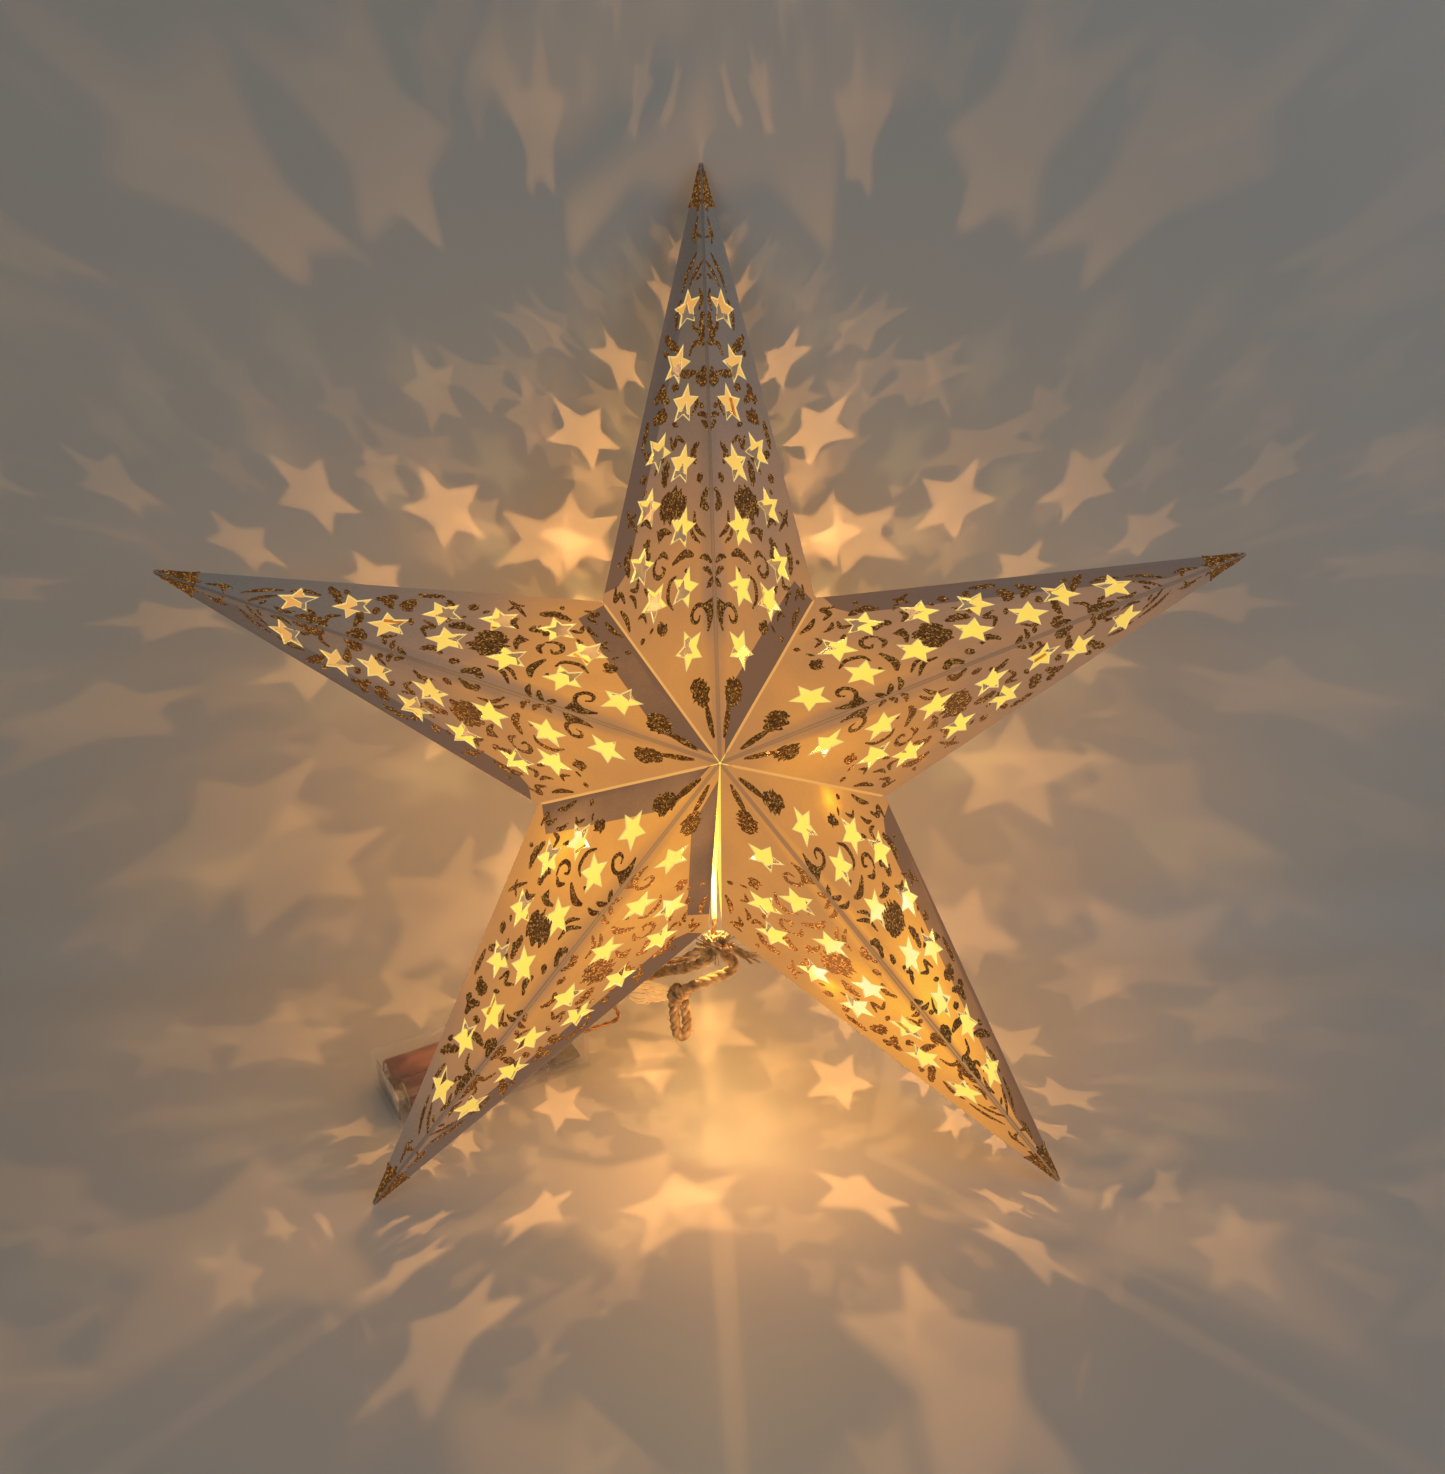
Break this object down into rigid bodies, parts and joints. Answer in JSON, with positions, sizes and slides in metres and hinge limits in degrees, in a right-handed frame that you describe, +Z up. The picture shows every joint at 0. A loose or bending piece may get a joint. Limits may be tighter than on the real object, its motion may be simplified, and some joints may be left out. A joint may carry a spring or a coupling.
{
  "type": "folding paper star lantern",
  "caption": "Lit paper star lantern of folded card arms with star-shaped holes, tied with jute cord and fed from a clear battery box.",
  "frame": {"origin": "the top point of the star, where it rests on the wall", "axes": "+X to the right seen from the front, +Y into the wall, +Z up"},
  "size_m": [0.2996, 0.1207, 0.2586],
  "materials": {
    "printed_card": "matt off-white card with a gold glitter print",
    "plain_card": "matt off-white card",
    "copper_wire": "thin lacquered copper-coloured wire",
    "light_beads": "clear drop over a lit chip",
    "jute": "three-strand twisted natural jute",
    "clear_plastic": "clear moulded plastic",
    "cell_sleeve": "dark red plastic sleeve, no text",
    "contact_metal": "nickel-plated spring metal",
    "circuit_board": "green board with a small resistor",
    "black_plastic": "fine-grained black"
  },
  "bodies": {
    "top_back_left": {"top_arm_back_left_panel": "printed_card", "inner_lead": "copper_wire", "centre_light_beads": "light_beads", "battery_lead": "copper_wire", "battery_box_base": "clear_plastic", "switch_board": "circuit_board", "battery_cells": "cell_sleeve", "battery_contacts": "contact_metal"},
    "top_front_left": {"top_arm_front_left_panel": "printed_card", "top_arm_outer_tab": "plain_card"},
    "top_front_right": {"top_arm_front_right_panel": "printed_card", "top_arm_front_seam_tab": "plain_card", "top_arm_light_wire": "copper_wire", "top_arm_light_beads": "light_beads"},
    "right_front_left": {"right_arm_front_left_panel": "printed_card", "right_arm_outer_tab": "plain_card"},
    "right_front_right": {"right_arm_front_right_panel": "printed_card", "right_arm_front_seam_tab": "plain_card", "right_arm_light_wire": "copper_wire", "right_arm_light_beads": "light_beads"},
    "lower_right_front_left": {"lower_right_arm_front_left_panel": "printed_card", "lower_right_arm_outer_tab": "plain_card"},
    "lower_right_front_right": {"lower_right_arm_front_right_panel": "printed_card", "lower_right_arm_light_wire": "copper_wire", "lower_right_arm_light_beads": "light_beads"},
    "left_front_right": {"left_arm_front_right_panel": "printed_card", "left_arm_front_seam_tab": "plain_card", "left_arm_light_wire": "copper_wire", "left_arm_light_beads": "light_beads"},
    "left_front_left": {"left_arm_front_left_panel": "printed_card", "left_arm_outer_tab": "plain_card"},
    "lower_left_front_right": {"lower_left_arm_front_right_panel": "printed_card", "lower_left_arm_front_seam_tab": "plain_card", "lower_left_arm_light_wire": "copper_wire", "lower_left_arm_light_beads": "light_beads"},
    "lower_left_front_left": {"lower_left_arm_front_left_panel": "printed_card", "lower_left_arm_front_slit_tab": "plain_card", "lower_left_arm_outer_tab": "plain_card", "jute_tie": "jute", "jute_left_cord": "jute", "jute_right_cord": "jute", "jute_knot": "jute", "jute_end_loop": "jute", "jute_tassel": "jute"},
    "top_back_right": {"top_arm_back_right_panel": "printed_card", "top_arm_back_seam_tab": "plain_card"},
    "right_back_left": {"right_arm_back_left_panel": "printed_card"},
    "right_back_right": {"right_arm_back_right_panel": "printed_card", "right_arm_back_seam_tab": "plain_card"},
    "lower_right_back_left": {"lower_right_arm_back_left_panel": "printed_card"},
    "lower_right_back_right": {"lower_right_arm_back_right_panel": "printed_card"},
    "lower_left_back_left": {"lower_left_arm_back_left_panel": "printed_card", "lower_left_arm_back_slit_tab": "plain_card"},
    "lower_left_back_right": {"lower_left_arm_back_right_panel": "printed_card", "lower_left_arm_back_seam_tab": "plain_card"},
    "left_back_left": {"left_arm_back_left_panel": "printed_card"},
    "left_back_right": {"left_arm_back_right_panel": "printed_card", "left_arm_back_seam_tab": "plain_card"},
    "battery_lid": {"battery_box_lid": "clear_plastic"},
    "switch": {"switch_knob": "black_plastic"}
  },
  "joints": [
    {"name": "star_fold", "type": "hinge", "parent": "top_back_left", "child": "top_front_left", "pos_m": [-0.01455, -0.02522, -0.05408], "axis": [-0.2369, -0.4106, -0.8805], "range_deg": [0, 48.19], "deforming": ["jute_left_cord", "jute_tassel"]},
    {"name": "top_arm_ridge_fold", "type": "hinge", "parent": "top_front_left", "child": "top_front_right", "pos_m": [0, -0.05737, -0.06152], "axis": [0, 0.6821, 0.7313], "range_deg": [0, 50.66]},
    {"name": "top_right_seam_fold", "type": "hinge", "parent": "top_front_right", "child": "right_front_left", "pos_m": [0.01455, -0.08259, -0.1156], "axis": [-0.4035, -0.8915, -0.2061], "range_deg": [0, 66.05]},
    {"name": "right_arm_ridge_fold", "type": "hinge", "parent": "right_front_left", "child": "right_front_right", "pos_m": [0.07573, -0.08029, -0.11066], "axis": [0.9003, 0.4097, 0.1471], "range_deg": [0, 50.66]},
    {"name": "right_lower_right_seam_fold", "type": "hinge", "parent": "right_front_right", "child": "lower_right_front_left", "pos_m": [0.02393, -0.09424, -0.14057], "axis": [-0.6635, -0.5686, 0.4862], "range_deg": [0, 66.05]},
    {"name": "lower_right_arm_ridge_fold", "type": "hinge", "parent": "lower_right_front_left", "child": "lower_right_front_right", "pos_m": [0.04881, -0.11797, -0.19147], "axis": [0.5803, -0.0383, -0.8135], "range_deg": [0, 50.66]},
    {"name": "top_left_seam_fold", "type": "hinge", "parent": "top_front_left", "child": "left_front_right", "pos_m": [-0.01455, -0.08259, -0.1156], "axis": [-0.4035, 0.8915, 0.2061], "range_deg": [0, 66.05]},
    {"name": "left_arm_ridge_fold", "type": "hinge", "parent": "left_front_right", "child": "left_front_left", "pos_m": [-0.07573, -0.08029, -0.11066], "axis": [0.9003, -0.4097, -0.1471], "range_deg": [0, 50.66]},
    {"name": "left_lower_left_seam_fold", "type": "hinge", "parent": "left_front_left", "child": "lower_left_front_right", "pos_m": [-0.02393, -0.09424, -0.14057], "axis": [-0.6635, 0.5686, -0.4862], "range_deg": [0, 66.05]},
    {"name": "lower_left_arm_ridge_fold", "type": "hinge", "parent": "lower_left_front_right", "child": "lower_left_front_left", "pos_m": [-0.04881, -0.11797, -0.19147], "axis": [0.5803, 0.0383, 0.8135], "range_deg": [0, 50.66]},
    {"name": "top_arm_right_edge_fold", "type": "hinge", "parent": "top_front_right", "child": "top_back_right", "pos_m": [0.01455, -0.02522, -0.05408], "axis": [0.2369, -0.4106, -0.8805], "range_deg": [0, 48.21]},
    {"name": "right_arm_left_edge_fold", "type": "hinge", "parent": "right_front_left", "child": "right_back_left", "pos_m": [0.09029, -0.04813, -0.10322], "axis": [0.9961, 0.0375, 0.0805], "range_deg": [0, 48.21]},
    {"name": "right_arm_right_edge_fold", "type": "hinge", "parent": "right_front_right", "child": "right_back_right", "pos_m": [0.09967, -0.05978, -0.12819], "axis": [-0.8433, -0.2271, -0.487], "range_deg": [0, 48.21]},
    {"name": "lower_right_arm_left_edge_fold", "type": "hinge", "parent": "lower_right_front_left", "child": "lower_right_back_left", "pos_m": [0.07275, -0.09746, -0.209], "axis": [0.405, -0.3864, -0.8286], "range_deg": [0, 48.21]},
    {"name": "lower_right_arm_right_edge_fold", "type": "hinge", "parent": "lower_right_front_right", "child": "lower_right_back_right", "pos_m": [0.04968, -0.10497, -0.2251], "axis": [-0.7805, 0.2642, 0.5666], "range_deg": [0, 48.21]},
    {"name": "lower_left_arm_left_edge_fold", "type": "hinge", "parent": "lower_left_front_left", "child": "lower_left_back_left", "pos_m": [-0.04968, -0.10497, -0.2251], "axis": [-0.7805, -0.2642, -0.5666], "range_deg": [0, 48.21]},
    {"name": "lower_left_arm_right_edge_fold", "type": "hinge", "parent": "lower_left_front_right", "child": "lower_left_back_right", "pos_m": [-0.07275, -0.09746, -0.209], "axis": [0.405, 0.3864, 0.8286], "range_deg": [0, 48.21]},
    {"name": "left_arm_left_edge_fold", "type": "hinge", "parent": "left_front_left", "child": "left_back_left", "pos_m": [-0.09967, -0.05978, -0.12819], "axis": [-0.8433, 0.2271, 0.487], "range_deg": [0, 48.21]},
    {"name": "left_arm_right_edge_fold", "type": "hinge", "parent": "left_front_right", "child": "left_back_right", "pos_m": [-0.09029, -0.04813, -0.10322], "axis": [0.9961, -0.0375, -0.0805], "range_deg": [0, 48.21]},
    {"name": "lid_slide", "type": "slide", "parent": "top_back_left", "child": "battery_lid", "axis": [-0.8965, -0.4431, 0], "range_m": [0, 0.045]},
    {"name": "switch_slide", "type": "slide", "parent": "top_back_left", "child": "switch", "axis": [0.4431, -0.8965, 0], "range_m": [0, 0.0025]}
  ],
  "couplings": [
    {"joint": "top_arm_ridge_fold", "follows": "star_fold", "ratio": 1.0509},
    {"joint": "top_right_seam_fold", "follows": "star_fold", "ratio": 1.3703},
    {"joint": "right_arm_ridge_fold", "follows": "star_fold", "ratio": 1.0509},
    {"joint": "right_lower_right_seam_fold", "follows": "star_fold", "ratio": 1.3703},
    {"joint": "lower_right_arm_ridge_fold", "follows": "star_fold", "ratio": 1.0509},
    {"joint": "top_left_seam_fold", "follows": "star_fold", "ratio": 1.3703},
    {"joint": "left_arm_ridge_fold", "follows": "star_fold", "ratio": 1.0509},
    {"joint": "left_lower_left_seam_fold", "follows": "star_fold", "ratio": 1.3703},
    {"joint": "lower_left_arm_ridge_fold", "follows": "star_fold", "ratio": 1.0509},
    {"joint": "top_arm_right_edge_fold", "follows": "star_fold", "ratio": 1},
    {"joint": "right_arm_left_edge_fold", "follows": "star_fold", "ratio": 1},
    {"joint": "right_arm_right_edge_fold", "follows": "star_fold", "ratio": 1},
    {"joint": "lower_right_arm_left_edge_fold", "follows": "star_fold", "ratio": 1},
    {"joint": "lower_right_arm_right_edge_fold", "follows": "star_fold", "ratio": 1},
    {"joint": "lower_left_arm_left_edge_fold", "follows": "star_fold", "ratio": 1},
    {"joint": "lower_left_arm_right_edge_fold", "follows": "star_fold", "ratio": 1},
    {"joint": "left_arm_left_edge_fold", "follows": "star_fold", "ratio": 1},
    {"joint": "left_arm_right_edge_fold", "follows": "star_fold", "ratio": 1}
  ]
}
